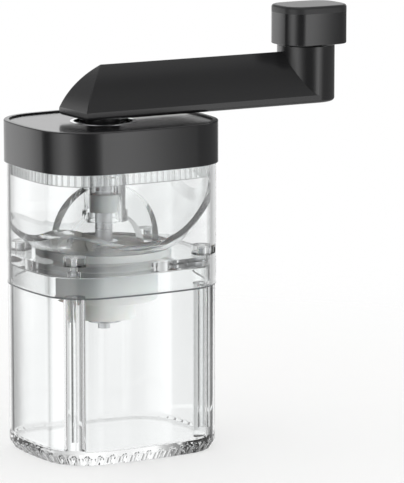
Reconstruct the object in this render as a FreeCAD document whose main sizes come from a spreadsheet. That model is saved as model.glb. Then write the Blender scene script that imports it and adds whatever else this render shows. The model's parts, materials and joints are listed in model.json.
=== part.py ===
import FreeCAD, Part
import math
import os
import Sketcher

doc = FreeCAD.newDocument("coffee_grinder")
dims = doc.addObject("Spreadsheet::Sheet", "dims")

# Driving sizes of the grinder in millimetres; levels are heights above the table.
SIZES = {
    # Plan outline of the square-shouldered body, each side a shallow arc.
    "body_length": 78.0,
    "body_width": 65.4,
    "long_side_radius": 205.0,
    "short_side_radius": 121.0,
    "corner_radius": 19.7,
    "mill_offset": 3.5,
    # Ground coffee container.
    "seam_level": 67.0,
    "container_inset": 0.4,
    "container_wall": 3.5,
    "container_floor": 5.0,
    "bevel_width": 2.0,
    "bevel_height": 3.2,
    "neck_height": 8.0,
    "slip_gap": 0.3,
    "corner_post_end_gap": 10.5,
    "corner_post_side_gap": 10.4,
    "column_radius": 4.0,
    "column_bore": 1.2,
    "column_bore_floor": 4.0,
    # Bean hopper.
    "hopper_height": 48.9,
    "hopper_wall": 2.2,
    "boss_radius": 4.4,
    "boss_height": 3.6,
    "boss_roof": 0.6,
    "bond_gap": 0.05,
    "funnel_arc_radius": 31.0,
    "funnel_arc_offset": 10.4,
    "funnel_arc_rise": 28.2,
    "funnel_wall": 1.8,
    "funnel_height": 28.2,
    # Mill plate under the hopper and its screws.
    "plate_thickness": 4.0,
    "screw_radius": 1.25,
    "screw_head_radius": 2.25,
    "screw_head_height": 1.8,
    "screw_play": 0.25,
    "thread_gap": 0.05,
    "drive_flats": 2.0,
    "drive_depth": 1.0,
    # Burr carrier and ring burr.
    "carrier_radius": 21.0,
    "carrier_wall": 1.7,
    "carrier_height": 20.8,
    "carrier_ledge": 2.0,
    "carrier_ledge_width": 2.2,
    "carrier_flange_radius": 26.6,
    "carrier_flange": 3.0,
    "ring_burr_height": 17.3,
    "ring_burr_mouth": 16.2,
    "ring_burr_throat": 13.0,
    "ring_burr_foot": 15.9,
    "throat_height": 10.5,
    # Bearing bridge over the burrs.
    "bridge_outer_radius": 22.8,
    "bridge_outer_rise": 2.0,
    "bridge_inner_radius": 16.7,
    "bridge_inner_drop": 2.8,
    "bridge_thickness": 6.0,
    "tube_radius": 8.5,
    "tube_lip": 0.8,
    "tube_lip_height": 4.1,
    "tube_headroom": 10.1,
    "tube_rise": 2.1,
    "bush_radius": 5.5,
    "bush_length": 7.0,
    "lower_bush_setback": 3.6,
    "tube_land_radius": 4.6,
    "press_gap": 0.03,
    # Drive shaft.
    "shaft_radius": 3.25,
    "journal_radius": 3.0,
    "running_gap": 0.05,
    "end_play": 0.1,
    "square_side": 4.2,
    "square_gap": 0.06,
    "thread_radius": 2.0,
    "square_lead": 0.4,
    "thread_tail": 2.9,
    "square_short": 1.5,
    "journal_tail": 2.1,
    "clip_radius": 5.2,
    "clip_thickness": 0.8,
    "clip_groove_radius": 2.4,
    "clip_gap": 0.04,
    # Cone burr, its insert, spring and washer.
    "burr_gap": 0.4,
    "cone_height": 14.0,
    "cone_top_radius": 7.0,
    "cone_lift": 0.1,
    "insert_radius": 4.6,
    "insert_flange_radius": 8.0,
    "insert_flange": 1.0,
    "flute_rise": 1.3,
    "flute_bite": 0.6,
    "cone_shoulder_drop": 1.0,
    "flute_width": 2.2,
    "washer_radius": 5.4,
    "washer_thickness": 0.8,
    "spring_room": 5.6,
    "spring_radius": 4.1,
    "wire_radius": 0.35,
    "spring_turns": 3.5,
    # Adjusting dial and thumb nut.
    "dial_radius": 12.0,
    "dial_height": 7.0,
    "dial_boss_radius": 5.0,
    "dial_boss_height": 2.2,
    "nut_radius": 6.4,
    "nut_height": 1.8,
    # Cover with its trim ring and gasket.
    "cover_overhang": 0.82,
    "cover_height": 16.7,
    "cover_rim": 1.3,
    "cover_recess": 0.6,
    "cover_plate": 2.5,
    "cover_edge": 0.5,
    "eyelet_radius": 13.2,
    "eyelet_width": 1.4,
    "eyelet_lip": 0.1,
    "eyelet_neck": 1.0,
    "gasket_wall": 1.6,
    "gasket_drop": 5.0,
    "gasket_seat": 5.0,
    # Crank.
    "crank_length": 94.2,
    "arm_clearance": 1.4,
    "arm_width": 23.6,
    "arm_lip": 3.2,
    "arm_height": 20.7,
    "nose_length": 13.45,
    "ridge_start": 0.9,
    "roof_radius": 37.0,
    "nose_radius": 38.5,
    "arm_edge": 0.5,
    "arm_base_edge": 1.4,
    "post_height": 22.9,
    "hub_radius": 6.65,
    "hub_gap": 1.5,
    "socket_radius": 4.6,
    "socket_length": 11.0,
    # Knob, a small copy of the body outline, with its spindle.
    "knob_scale": 0.374,
    "knob_trim": 0.78,
    "knob_offset": 1.44,
    "knob_gap": 0.5,
    "knob_height": 16.0,
    "knob_cap_height": 3.0,
    "knob_edge": 1.2,
    "knob_base_edge": 0.4,
    "spindle_radius": 2.5,
    "spindle_depth": 14.0,
    "spindle_head_radius": 4.5,
    "spindle_head_height": 2.0,
    "spindle_head_gap": 0.4,
    "knob_washer_radius": 7.0,
}

# Counts of repeated features.
BURR_FLUTES = 12

for row, (alias, amount) in enumerate(SIZES.items(), start=1):
    dims.set("A%d" % row, alias)
    dims.set("B%d" % row, str(amount))
    dims.setAlias("B%d" % row, alias)
doc.recompute()


class Size:
    # A length together with the expression that ties it to the sheet.
    def __init__(self, text, value):
        self.text = text
        self.value = value

    def __add__(self, other):
        other = sized(other)
        return Size("(%s + %s)" % (self.text, other.text), self.value + other.value)

    def __sub__(self, other):
        other = sized(other)
        return Size("(%s - %s)" % (self.text, other.text), self.value - other.value)

    def __mul__(self, other):
        other = sized(other)
        return Size("(%s * %s)" % (self.text, other.text), self.value * other.value)

    def __truediv__(self, other):
        other = sized(other)
        return Size("(%s / %s)" % (self.text, other.text), self.value / other.value)

    def __neg__(self):
        return Size("(0 - %s)" % self.text, -self.value)


def sized(amount):
    if isinstance(amount, Size):
        return amount
    return Size(repr(float(amount)), float(amount))


def named(alias):
    return Size("dims." + alias, float(SIZES[alias]))


ZERO = sized(0.0)
# How far a cut runs past the face that it opens.
OVERCUT = sized(1.0)
D = {alias: named(alias) for alias in SIZES}

# Places and levels that follow from the driving sizes.
corner_post_x = D["body_length"] / 2 - D["corner_post_end_gap"]
corner_post_y = D["body_width"] / 2 - D["corner_post_side_gap"]
hopper_inner = D["hopper_wall"]
container_inner = D["container_inset"] + D["container_wall"]
neck_outer = D["hopper_wall"] + D["slip_gap"]

neck_top = D["seam_level"] + D["neck_height"]
plate_bottom = neck_top + D["slip_gap"]
plate_top = plate_bottom + D["plate_thickness"]
flange_top = plate_top + D["carrier_flange"]
hopper_top = D["seam_level"] + D["hopper_height"]
cover_top = hopper_top + D["cover_height"]
deck_top = cover_top - D["cover_recess"]
deck_bottom = deck_top - D["cover_plate"]

carrier_bottom = flange_top - D["carrier_height"]
ledge_top = carrier_bottom + D["carrier_ledge"]
throat_level = ledge_top + D["throat_height"]
cone_bottom = ledge_top + D["cone_lift"]
cone_top = cone_bottom + D["cone_height"]
insert_bottom = cone_bottom - D["insert_flange"]
square_level = insert_bottom + D["square_lead"]
washer_bottom = cone_top + D["spring_room"]
shoulder_level = washer_bottom + D["washer_thickness"]
dial_top = insert_bottom - D["dial_boss_height"]
dial_bottom = dial_top - D["dial_height"]
nut_bottom = dial_bottom - D["nut_height"]
shaft_bottom = nut_bottom - D["thread_tail"]

tube_bottom = flange_top + D["tube_headroom"]
tube_top = hopper_top + D["tube_rise"]
lower_bush_level = tube_bottom + D["lower_bush_setback"]
lower_bush_top = lower_bush_level + D["bush_length"]
upper_bush_level = tube_top - D["bush_length"]
clip_level = tube_top + D["end_play"]
clip_top = clip_level + D["clip_thickness"]
journal_top = clip_top + D["journal_tail"]
hub_bottom = journal_top + D["hub_gap"]
shaft_top = hub_bottom + D["socket_length"] - D["square_short"]

arm_bottom = cover_top + D["arm_clearance"]
lip_level = arm_bottom + D["arm_lip"]
ridge_level = arm_bottom + D["arm_height"]
post_top = arm_bottom + D["post_height"]
knob_bottom = post_top + D["knob_gap"]
knob_top = knob_bottom + D["knob_height"]
knob_face = knob_top - D["knob_cap_height"]


def new_body(label, on_mill_axis=False):
    body = doc.addObject("PartDesign::Body", label)
    body.Label = label
    if on_mill_axis:
        body.setExpression("Placement.Base.x", (-D["mill_offset"]).text)
    return body


def new_sketch(body, name, role, level=ZERO):
    sketch = body.newObject("Sketcher::SketchObject", name)
    for feature in body.Origin.OriginFeatures:
        if feature.Role == role:
            sketch.AttachmentSupport = [(feature, "")]
    sketch.MapMode = "FlatFace"
    if level is not ZERO:
        sketch.AttachmentOffset = FreeCAD.Placement(
            FreeCAD.Vector(0, 0, level.value), FreeCAD.Rotation())
        sketch.setExpression("AttachmentOffset.Base.z", level.text)
    return sketch


def drive(sketch, kind, places, size):
    index = sketch.addConstraint(Sketcher.Constraint(kind, *places, size.value))
    sketch.setExpression("Constraints[%d]" % index, size.text)


def fix_point(sketch, geometry, spot, across, along):
    for kind, axis, size in (("DistanceX", -2, across), ("DistanceY", -1, along)):
        if abs(size.value) < 1e-9:
            sketch.addConstraint(Sketcher.Constraint("PointOnObject", geometry, spot, axis))
        elif size.value > 0:
            drive(sketch, kind, (-1, 1, geometry, spot), size)
        else:
            drive(sketch, kind, (geometry, spot, -1, 1), -size)


def flat(point):
    return FreeCAD.Vector(point[0].value, point[1].value, 0)


def bow(start, end, radius):
    # Arc that runs anticlockwise from start to end.
    chord = end - start
    rise = math.sqrt(radius.value ** 2 - chord.Length ** 2 / 4)
    centre = (start + end) / 2 + FreeCAD.Vector(-chord.y, chord.x, 0) * (rise / chord.Length)
    spokes = [math.atan2(tip.y - centre.y, tip.x - centre.x) for tip in (start, end)]
    ring = Part.Circle(centre, FreeCAD.Vector(0, 0, 1), radius.value)
    return Part.ArcOfCircle(ring, spokes[0], spokes[1])


def polygon(sketch, points, bows=None):
    bows = bows or {}
    count = len(points)
    first = sketch.GeometryCount
    for index in range(count):
        ends = flat(points[index]), flat(points[(index + 1) % count])
        if index in bows:
            sketch.addGeometry(bow(*ends, bows[index]))
            drive(sketch, "Radius", (first + index,), bows[index])
        else:
            sketch.addGeometry(Part.LineSegment(*ends))
    for index in range(count):
        follower = first + (index + 1) % count
        sketch.addConstraint(Sketcher.Constraint("Coincident", first + index, 2, follower, 1))
    for index in range(count):
        fix_point(sketch, first + index, 1, sized(points[index][0]), sized(points[index][1]))


def circle(sketch, radius, across=ZERO, along=ZERO):
    centre = FreeCAD.Vector(across.value, along.value, 0)
    index = sketch.addGeometry(Part.Circle(centre, FreeCAD.Vector(0, 0, 1), radius.value))
    if abs(across.value) < 1e-9 and abs(along.value) < 1e-9:
        sketch.addConstraint(Sketcher.Constraint("Coincident", index, 3, -1, 1))
    else:
        fix_point(sketch, index, 3, across, along)
    drive(sketch, "Radius", (index,), radius)


def square(sketch, side):
    half = side / 2
    polygon(sketch, [(-half, -half), (half, -half), (half, half), (-half, half)])


def plan(sketch, inset, scale=sized(1.0), shift=ZERO, trim=ZERO):
    # Body outline: four shallow side arcs joined by four tangent corner arcs.
    half_length = D["body_length"] * scale / 2 - inset
    half_width = D["body_width"] * scale / 2 - inset - trim
    long_radius = D["long_side_radius"] * scale - inset
    short_radius = D["short_side_radius"] * scale - inset
    corner = D["corner_radius"] * scale - inset
    side_x = half_length - short_radius
    side_y = half_width - long_radius
    reach_long = long_radius.value - corner.value
    reach_short = short_radius.value - corner.value
    gap = math.hypot(side_x.value, side_y.value)
    along = (reach_short ** 2 - reach_long ** 2 + gap ** 2) / (2 * gap)
    rise = math.sqrt(reach_short ** 2 - along ** 2)
    ux = -side_x.value / gap
    uy = side_y.value / gap
    corner_x = side_x.value + along * ux - rise * uy
    corner_y = along * uy + rise * ux
    side_angle = math.atan2(corner_y, corner_x - side_x.value)
    long_angle = math.atan2(corner_y - side_y.value, corner_x)
    full = math.pi
    specs = []
    for start, sx, sy in ((0.0, 1, 1), (0.5, -1, 1), (1.0, -1, -1), (1.5, 1, -1)):
        base = start * full
        if sx * sy > 0:
            span = (base + side_angle, base + long_angle)
        else:
            span = (base + full / 2 - long_angle, base + full / 2 - side_angle)
        specs.append((sx * corner_x, sy * corner_y, corner.value, span))
    sides = [
        (side_x.value, 0.0, short_radius.value, (-side_angle, side_angle)),
        (0.0, side_y.value, long_radius.value, (long_angle, full - long_angle)),
        (-side_x.value, 0.0, short_radius.value, (full - side_angle, full + side_angle)),
        (0.0, -side_y.value, long_radius.value, (full + long_angle, 2 * full - long_angle)),
    ]
    arcs = []
    for side, bend in zip(sides, specs):
        arcs += [side, bend]
    first = sketch.GeometryCount
    for x, y, radius, span in arcs:
        centre = FreeCAD.Vector(x + shift.value, y, 0)
        ring = Part.Circle(centre, FreeCAD.Vector(0, 0, 1), radius)
        sketch.addGeometry(Part.ArcOfCircle(ring, span[0], span[1]))
    for index in range(8):
        follower = first + (index + 1) % 8
        sketch.addConstraint(Sketcher.Constraint("Tangent", first + index, 2, follower, 1))
    centres = [(side_x, ZERO), (ZERO, side_y), (-side_x, ZERO), (ZERO, -side_y)]
    radii = [short_radius, long_radius, short_radius, long_radius]
    for index in range(4):
        fix_point(sketch, first + 2 * index, 3, centres[index][0] + shift, centres[index][1])
        drive(sketch, "Radius", (first + 2 * index,), radii[index])
        drive(sketch, "Radius", (first + 2 * index + 1,), corner)


def pad(body, name, sketch, length, midplane=False):
    feature = body.newObject("PartDesign::Pad", name)
    feature.Profile = sketch
    feature.Length = length.value
    feature.setExpression("Length", length.text)
    feature.Midplane = midplane
    doc.recompute()
    return feature


def pocket(body, name, sketch, depth, upward=True):
    feature = body.newObject("PartDesign::Pocket", name)
    feature.Profile = sketch
    feature.Length = depth.value
    feature.setExpression("Length", depth.text)
    feature.Reversed = upward
    doc.recompute()
    return feature


def turn(body, name, sketch, kind="PartDesign::Revolution"):
    feature = body.newObject(kind, name)
    feature.Profile = sketch
    feature.ReferenceAxis = (sketch, ["V_Axis"])
    feature.Angle = 360
    doc.recompute()
    return feature


def turned_body(label, points):
    body = new_body(label, on_mill_axis=True)
    sketch = new_sketch(body, label + "_profile", "XZ_Plane")
    polygon(sketch, points)
    turn(body, label + "_turn", sketch)
    return body


def repeat(body, name, feature, count):
    pattern = body.newObject("PartDesign::PolarPattern", name)
    pattern.Originals = [feature]
    for axis in body.Origin.OriginFeatures:
        if axis.Role == "Z_Axis":
            pattern.Axis = (axis, [""])
    pattern.Angle = 360
    pattern.Occurrences = count
    body.Tip = pattern
    doc.recompute()
    return pattern


def edges_where(feature, test):
    return ["Edge%d" % number for number, edge in enumerate(feature.Shape.Edges, start=1) if test(edge)]


def level_edges(feature, level, test=None):
    def at_level(edge):
        box = edge.BoundBox
        flat_here = abs(box.ZMin - level.value) < 1e-4 and abs(box.ZMax - level.value) < 1e-4
        return flat_here and (test is None or test(edge))
    return edges_where(feature, at_level)


def round_edges(body, name, feature, edges, radius):
    rounding = body.newObject("PartDesign::Fillet", name)
    rounding.Base = (feature, edges)
    rounding.Radius = radius.value
    rounding.setExpression("Radius", radius.text)
    doc.recompute()
    return rounding


# Clear container under the mill, with a hollow column in each front corner.
container = new_body("container")
sketch = new_sketch(container, "container_plan", "XY_Plane")
plan(sketch, D["container_inset"])
pad(container, "container_block", sketch, D["seam_level"])
sketch = new_sketch(container, "container_neck_plan", "XY_Plane", D["seam_level"])
plan(sketch, neck_outer)
pad(container, "container_neck", sketch, D["neck_height"])
sketch = new_sketch(container, "container_cavity_plan", "XY_Plane", D["container_floor"])
plan(sketch, container_inner)
pocket(container, "container_cavity", sketch, neck_top - D["container_floor"] + OVERCUT)
sketch = new_sketch(container, "container_column_plan", "XY_Plane", D["container_floor"] - OVERCUT)
for sx in (1, -1):
    circle(sketch, D["column_radius"], corner_post_x * sx, -corner_post_y)
columns = pad(container, "container_columns", sketch, D["seam_level"] - D["container_floor"] + OVERCUT)
bevel = container.newObject("PartDesign::Chamfer", "container_bevel")
bevel.Base = (columns, level_edges(columns, ZERO))
bevel.ChamferType = "Two distances"
bevel.Size = D["bevel_width"].value
bevel.setExpression("Size", D["bevel_width"].text)
bevel.Size2 = D["bevel_height"].value
bevel.setExpression("Size2", D["bevel_height"].text)
doc.recompute()
bore_floor = D["container_floor"] + D["column_bore_floor"]
sketch = new_sketch(container, "container_bore_plan", "XY_Plane", bore_floor)
for sx in (1, -1):
    circle(sketch, D["column_bore"], corner_post_x * sx, -corner_post_y)
pocket(container, "container_bores", sketch, D["seam_level"] - bore_floor + OVERCUT)

# Clear hopper shell with four screw bosses in its corners.
hopper_shell = new_body("hopper_shell")
sketch = new_sketch(hopper_shell, "shell_plan", "XY_Plane", D["seam_level"])
plan(sketch, ZERO)
plan(sketch, hopper_inner)
pad(hopper_shell, "shell_wall", sketch, D["hopper_height"])
sketch = new_sketch(hopper_shell, "shell_boss_plan", "XY_Plane", plate_top)
for sx in (1, -1):
    for sy in (1, -1):
        circle(sketch, D["boss_radius"], corner_post_x * sx, corner_post_y * sy)
pad(hopper_shell, "shell_bosses", sketch, D["boss_height"])
sketch = new_sketch(hopper_shell, "shell_bore_plan", "XY_Plane", plate_top)
for sx in (1, -1):
    for sy in (1, -1):
        circle(sketch, D["screw_radius"] + D["thread_gap"], corner_post_x * sx, corner_post_y * sy)
pocket(hopper_shell, "shell_bores", sketch, D["boss_height"] - D["boss_roof"])

# Clear funnel that guides the beans into the burrs.
bean_funnel = new_body("bean_funnel")
sketch = new_sketch(bean_funnel, "funnel_plan", "XY_Plane", flange_top)
plan(sketch, hopper_inner + D["bond_gap"])
pad(bean_funnel, "funnel_block", sketch, D["funnel_height"])


def funnel_cut(name, radius, outside):
    # The bowl is an arc turned about the mill axis.
    centre_x = D["funnel_arc_offset"]
    centre_z = flange_top + D["funnel_arc_rise"]
    low = flange_top - OVERCUT
    high = flange_top + D["funnel_height"] + OVERCUT
    low_x = centre_x.value + math.sqrt(radius.value ** 2 - (low.value - centre_z.value) ** 2)
    high_x = centre_x.value + math.sqrt(radius.value ** 2 - (high.value - centre_z.value) ** 2)
    far = D["body_length"] if outside else ZERO
    sketch = new_sketch(bean_funnel, name + "_profile", "XZ_Plane")
    shift = -D["mill_offset"]
    middle = FreeCAD.Vector(centre_x.value + shift.value, centre_z.value, 0)
    span = [math.atan2(z.value - centre_z.value, x - centre_x.value) for x, z in ((low_x, low), (high_x, high))]
    ring = Part.Circle(middle, FreeCAD.Vector(0, 0, 1), radius.value)
    arc = sketch.addGeometry(Part.ArcOfCircle(ring, span[0], span[1]))
    corners = [(high_x + shift.value, high.value), (far.value + shift.value, high.value),
               (far.value + shift.value, low.value), (low_x + shift.value, low.value)]
    lines = []
    for start, end in zip(corners, corners[1:]):
        lines.append(sketch.addGeometry(Part.LineSegment(FreeCAD.Vector(*start, 0), FreeCAD.Vector(*end, 0))))
    fix_point(sketch, arc, 3, centre_x + shift, centre_z)
    drive(sketch, "Radius", (arc,), radius)
    sketch.addConstraint(Sketcher.Constraint("Coincident", arc, 2, lines[0], 1))
    sketch.addConstraint(Sketcher.Constraint("Coincident", lines[0], 2, lines[1], 1))
    sketch.addConstraint(Sketcher.Constraint("Coincident", lines[1], 2, lines[2], 1))
    sketch.addConstraint(Sketcher.Constraint("Coincident", lines[2], 2, arc, 1))
    sketch.addConstraint(Sketcher.Constraint("Horizontal", lines[0]))
    sketch.addConstraint(Sketcher.Constraint("Horizontal", lines[2]))
    fix_point(sketch, lines[1], 1, far + shift, high)
    fix_point(sketch, lines[1], 2, far + shift, low)
    axis = sketch.addGeometry(Part.LineSegment(
        FreeCAD.Vector(shift.value, 0, 0), FreeCAD.Vector(shift.value, low.value, 0)), True)
    fix_point(sketch, axis, 1, shift, ZERO)
    fix_point(sketch, axis, 2, shift, low)
    groove = bean_funnel.newObject("PartDesign::Groove", name)
    groove.Profile = sketch
    groove.ReferenceAxis = (sketch, ["Axis0"])
    groove.Angle = 360
    doc.recompute()
    return groove


funnel_cut("funnel_bowl", D["funnel_arc_radius"], False)
funnel_cut("funnel_underside", D["funnel_arc_radius"] + D["funnel_wall"], True)

# Clear mill plate that closes the hopper below and carries the burrs.
mill_plate = new_body("mill_plate")
sketch = new_sketch(mill_plate, "plate_plan", "XY_Plane", plate_bottom)
plan(sketch, neck_outer)
circle(sketch, D["carrier_radius"] + D["slip_gap"], -D["mill_offset"], ZERO)
pad(mill_plate, "plate_block", sketch, D["plate_thickness"])
for name, radius, depth in (
        ("plate_holes", D["screw_radius"] + D["screw_play"], D["plate_thickness"] + OVERCUT),
        ("plate_counterbores", D["screw_head_radius"] + D["screw_play"], D["screw_head_height"] + D["slip_gap"])):
    sketch = new_sketch(mill_plate, name + "_plan", "XY_Plane", plate_bottom)
    for sx in (1, -1):
        for sy in (1, -1):
            circle(sketch, radius, corner_post_x * sx, corner_post_y * sy)
    pocket(mill_plate, name, sketch, depth)

# Four small machine screws hold the plate to the hopper bosses.
head_bottom = plate_bottom + D["slip_gap"]
head_top = head_bottom + D["screw_head_height"]
screw_tip = plate_top + D["boss_height"] - D["boss_roof"] - D["slip_gap"]
screws = []


def primitive(kind, name, sizes, x, y, z):
    item = doc.addObject(kind, name)
    for prop, size in sizes.items():
        setattr(item, prop, size.value)
        item.setExpression(prop, size.text)
    for axis, size in (("x", x), ("y", y), ("z", z)):
        item.setExpression("Placement.Base." + axis, size.text)
    return item


for number, (sx, sy) in enumerate(((1, 1), (-1, 1), (-1, -1), (1, -1)), start=1):
    x = corner_post_x * sx
    y = corner_post_y * sy
    head = primitive("Part::Cylinder", "screw_head_%d" % number,
                     {"Radius": D["screw_head_radius"], "Height": D["screw_head_height"]}, x, y, head_bottom)
    shank = primitive("Part::Cylinder", "screw_shank_%d" % number,
                      {"Radius": D["screw_radius"], "Height": screw_tip - head_top}, x, y, head_top)
    recess = primitive("Part::Prism", "screw_recess_%d" % number,
                       {"Circumradius": D["drive_flats"] / 2, "Height": D["drive_depth"]}, x, y, head_bottom)
    recess.Polygon = 6
    whole = doc.addObject("Part::Fuse", "screw_blank_%d" % number)
    whole.Base = head
    whole.Tool = shank
    screw = doc.addObject("Part::Cut", "screw_%d" % number)
    screw.Base = whole
    screw.Tool = recess
    screws.append(screw)
plate_screws = doc.addObject("Part::Compound", "plate_screws")
plate_screws.Label = "plate_screws"
plate_screws.Links = screws

# Grey carrier that hangs in the plate and holds the ring burr.
carrier_inner = D["carrier_radius"] - D["carrier_wall"]
burr_carrier = turned_body("burr_carrier", [
    (carrier_inner - D["carrier_ledge_width"], carrier_bottom),
    (D["carrier_radius"], carrier_bottom),
    (D["carrier_radius"], plate_top),
    (D["carrier_flange_radius"], plate_top),
    (D["carrier_flange_radius"], flange_top),
    (carrier_inner, flange_top),
    (carrier_inner, ledge_top),
    (carrier_inner - D["carrier_ledge_width"], ledge_top)])

# Fluted ring burr.
ring_radius = carrier_inner - D["press_gap"]
ring_top = ledge_top + D["ring_burr_height"]
ring_burr = turned_body("ring_burr", [
    (D["ring_burr_foot"], ledge_top),
    (ring_radius, ledge_top),
    (ring_radius, ring_top),
    (D["ring_burr_mouth"], ring_top),
    (D["ring_burr_throat"], throat_level)])
sketch = new_sketch(ring_burr, "ring_flute_plan", "XY_Plane", ledge_top + D["flute_rise"])
flute_half = D["flute_width"] / 2
polygon(sketch, [
    (D["ring_burr_throat"] - OVERCUT, -flute_half),
    (D["ring_burr_foot"] + D["flute_bite"], ZERO),
    (D["ring_burr_throat"] - OVERCUT, flute_half)])
flute = pocket(ring_burr, "ring_flute", sketch, D["ring_burr_height"])
repeat(ring_burr, "ring_flutes", flute, BURR_FLUTES)

# Clear bridge over the burrs with the bearing tube at its crown.
bearing_bridge = new_body("bearing_bridge", on_mill_axis=True)
sketch = new_sketch(bearing_bridge, "bridge_arch", "XZ_Plane")
arch_ends = []
for radius, level in ((D["bridge_outer_radius"], flange_top + D["bridge_outer_rise"]),
                      (D["bridge_inner_radius"], flange_top - D["bridge_inner_drop"])):
    drop = flange_top.value - level.value
    half = math.sqrt(radius.value ** 2 - drop ** 2)
    tilt = math.atan2(drop, half)
    middle = FreeCAD.Vector(0, level.value, 0)
    ring = Part.Circle(middle, FreeCAD.Vector(0, 0, 1), radius.value)
    arc = sketch.addGeometry(Part.ArcOfCircle(ring, tilt, math.pi - tilt))
    fix_point(sketch, arc, 3, ZERO, level)
    drive(sketch, "Radius", (arc,), radius)
    arch_ends.append((arc, half))
for spot, sign in ((1, 1), (2, -1)):
    outer = FreeCAD.Vector(sign * arch_ends[0][1], flange_top.value, 0)
    inner = FreeCAD.Vector(sign * arch_ends[1][1], flange_top.value, 0)
    foot = sketch.addGeometry(Part.LineSegment(outer, inner))
    sketch.addConstraint(Sketcher.Constraint("Coincident", foot, 1, arch_ends[0][0], spot))
    sketch.addConstraint(Sketcher.Constraint("Coincident", foot, 2, arch_ends[1][0], spot))
    sketch.addConstraint(Sketcher.Constraint("Horizontal", foot))
    drive(sketch, "DistanceY", (-1, 1, foot, 1), flange_top)
pad(bearing_bridge, "bridge_arms", sketch, D["bridge_thickness"], midplane=True)
for name, radius, length in (
        ("bridge_tube", D["tube_radius"], tube_top - tube_bottom),
        ("bridge_lip", D["tube_radius"] + D["tube_lip"], D["tube_lip_height"])):
    sketch = new_sketch(bearing_bridge, name + "_plan", "XY_Plane", tube_bottom)
    circle(sketch, radius)
    pad(bearing_bridge, name, sketch, length)
for name, radius, level, depth in (
        ("tube_lower_seat", D["bush_radius"] + D["press_gap"], tube_bottom, lower_bush_top - tube_bottom),
        ("tube_land", D["tube_land_radius"], lower_bush_top, upper_bush_level - lower_bush_top),
        ("tube_upper_seat", D["bush_radius"] + D["press_gap"], upper_bush_level, D["bush_length"] + OVERCUT)):
    sketch = new_sketch(bearing_bridge, name + "_plan", "XY_Plane", level)
    circle(sketch, radius)
    pocket(bearing_bridge, name, sketch, depth)

# Two plain bushes in the bearing tube.
bush_bore = D["journal_radius"] + D["running_gap"]
for label, level in (("lower_bush", lower_bush_level), ("upper_bush", upper_bush_level)):
    turned_body(label, [
        (bush_bore, level),
        (D["bush_radius"], level),
        (D["bush_radius"], level + D["bush_length"]),
        (bush_bore, level + D["bush_length"])])

# Steel shaft: threaded foot, square for the cone burr, body, journal, square for the crank.
shoulder = lower_bush_level - D["end_play"]
drive_shaft = turned_body("drive_shaft", [
    (ZERO, shaft_bottom),
    (D["thread_radius"], shaft_bottom),
    (D["thread_radius"], shoulder_level),
    (D["shaft_radius"], shoulder_level),
    (D["shaft_radius"], shoulder),
    (D["journal_radius"], shoulder),
    (D["journal_radius"], clip_level),
    (D["clip_groove_radius"], clip_level),
    (D["clip_groove_radius"], clip_top + D["clip_gap"]),
    (D["journal_radius"], clip_top + D["clip_gap"]),
    (D["journal_radius"], journal_top),
    (ZERO, journal_top)])
sketch = new_sketch(drive_shaft, "burr_square_plan", "XY_Plane", square_level)
square(sketch, D["square_side"])
pad(drive_shaft, "burr_square", sketch, shoulder_level - square_level)
sketch = new_sketch(drive_shaft, "crank_square_plan", "XY_Plane", journal_top)
square(sketch, D["square_side"])
pad(drive_shaft, "crank_square", sketch, shaft_top - journal_top)

# Spring clip above the upper bush keeps the shaft in the tube.
clip_inner = D["clip_groove_radius"] + D["clip_gap"]
shaft_clip = turned_body("shaft_clip", [
    (clip_inner, clip_level),
    (D["clip_radius"], clip_level),
    (D["clip_radius"], clip_top),
    (clip_inner, clip_top)])
sketch = new_sketch(shaft_clip, "clip_mouth_plan", "XY_Plane", clip_level)
mouth = D["clip_groove_radius"] * 0.8
polygon(sketch, [(ZERO, -mouth), (D["clip_radius"] + OVERCUT, -mouth), (D["clip_radius"] + OVERCUT, mouth), (ZERO, mouth)])
pocket(shaft_clip, "clip_mouth", sketch, D["clip_thickness"])

# Fluted cone burr on a square-bored insert.
slope_top = throat_level - D["cone_shoulder_drop"]
cone_burr = turned_body("cone_burr", [
    (D["insert_radius"] + D["press_gap"], cone_bottom),
    (D["ring_burr_foot"] - D["burr_gap"], cone_bottom),
    (D["ring_burr_throat"] - D["burr_gap"], slope_top),
    (D["cone_top_radius"], cone_top),
    (D["insert_radius"] + D["press_gap"], cone_top)])
sketch = new_sketch(cone_burr, "cone_flute_plan", "XY_Plane", cone_bottom + D["flute_rise"])
polygon(sketch, [
    (D["cone_top_radius"] + D["flute_bite"], ZERO),
    (D["ring_burr_foot"] + OVERCUT, -flute_half),
    (D["ring_burr_foot"] + OVERCUT, flute_half)])
flute = pocket(cone_burr, "cone_flute", sketch, cone_top - cone_bottom)
repeat(cone_burr, "cone_flutes", flute, BURR_FLUTES)
burr_insert = turned_body("burr_insert", [
    (ZERO, insert_bottom),
    (D["insert_flange_radius"], insert_bottom),
    (D["insert_flange_radius"], cone_bottom),
    (D["insert_radius"], cone_bottom),
    (D["insert_radius"], cone_top),
    (ZERO, cone_top)])
sketch = new_sketch(burr_insert, "insert_square_plan", "XY_Plane", insert_bottom)
square(sketch, D["square_side"] + D["square_gap"] * 2)
pocket(burr_insert, "insert_square", sketch, cone_top - insert_bottom)

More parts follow.
